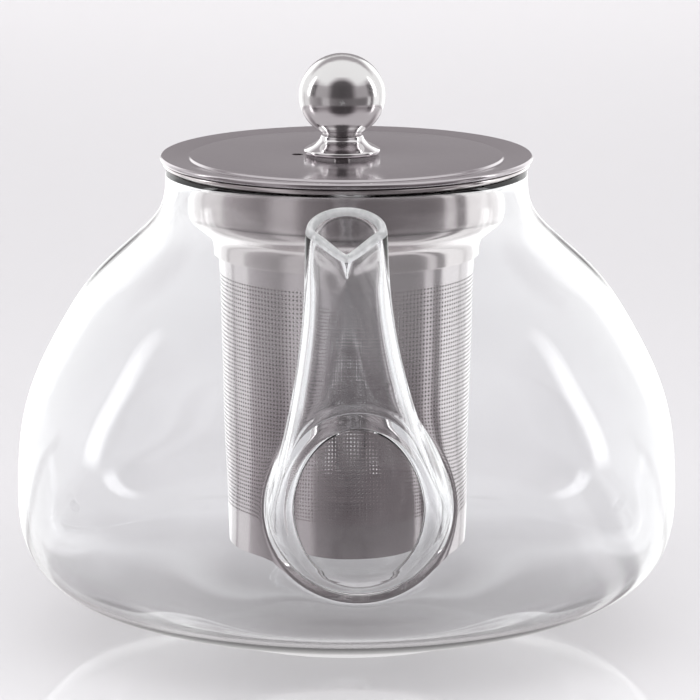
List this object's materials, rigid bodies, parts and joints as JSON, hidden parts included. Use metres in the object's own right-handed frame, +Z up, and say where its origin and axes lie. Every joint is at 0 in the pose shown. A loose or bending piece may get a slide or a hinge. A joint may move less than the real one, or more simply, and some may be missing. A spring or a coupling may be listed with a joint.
{
  "type": "glass teapot",
  "caption": "Round clear-glass teapot with a tall pouring spout, a loop handle, a lift-out perforated steel tea infuser and a lift-off steel lid with a ball knob.",
  "frame": {"origin": "centre of the flat foot, on the vessel's axis, at table level", "axes": "+Z up along the vessel's axis; the spout points along -Y and the handle along +Y"},
  "size_m": [0.179, 0.2554, 0.1593],
  "materials": {
    "glass": "clear blown borosilicate glass",
    "mirror_steel": "mirror-polished stainless steel",
    "satin_steel": "fine satin stainless steel"
  },
  "bodies": {
    "teapot": {"glass_body": "glass", "spout": "glass", "handle": "glass"},
    "infuser": {"infuser_collar": "mirror_steel", "infuser_basket": "satin_steel", "infuser_bottom": "satin_steel"},
    "lid": {"lid_cap": "satin_steel", "lid_skirt": "mirror_steel", "knob_base": "mirror_steel", "knob_ball": "mirror_steel", "knob_washer": "satin_steel", "knob_screw": "satin_steel"}
  },
  "joints": [
    {"name": "infuser_lift", "type": "slide", "parent": "teapot", "child": "infuser", "axis": [0, 0, 1], "range_m": [0, 0.115]},
    {"name": "lid_lift", "type": "slide", "parent": "infuser", "child": "lid", "axis": [0, 0, 1], "range_m": [0, 0.06]}
  ]
}
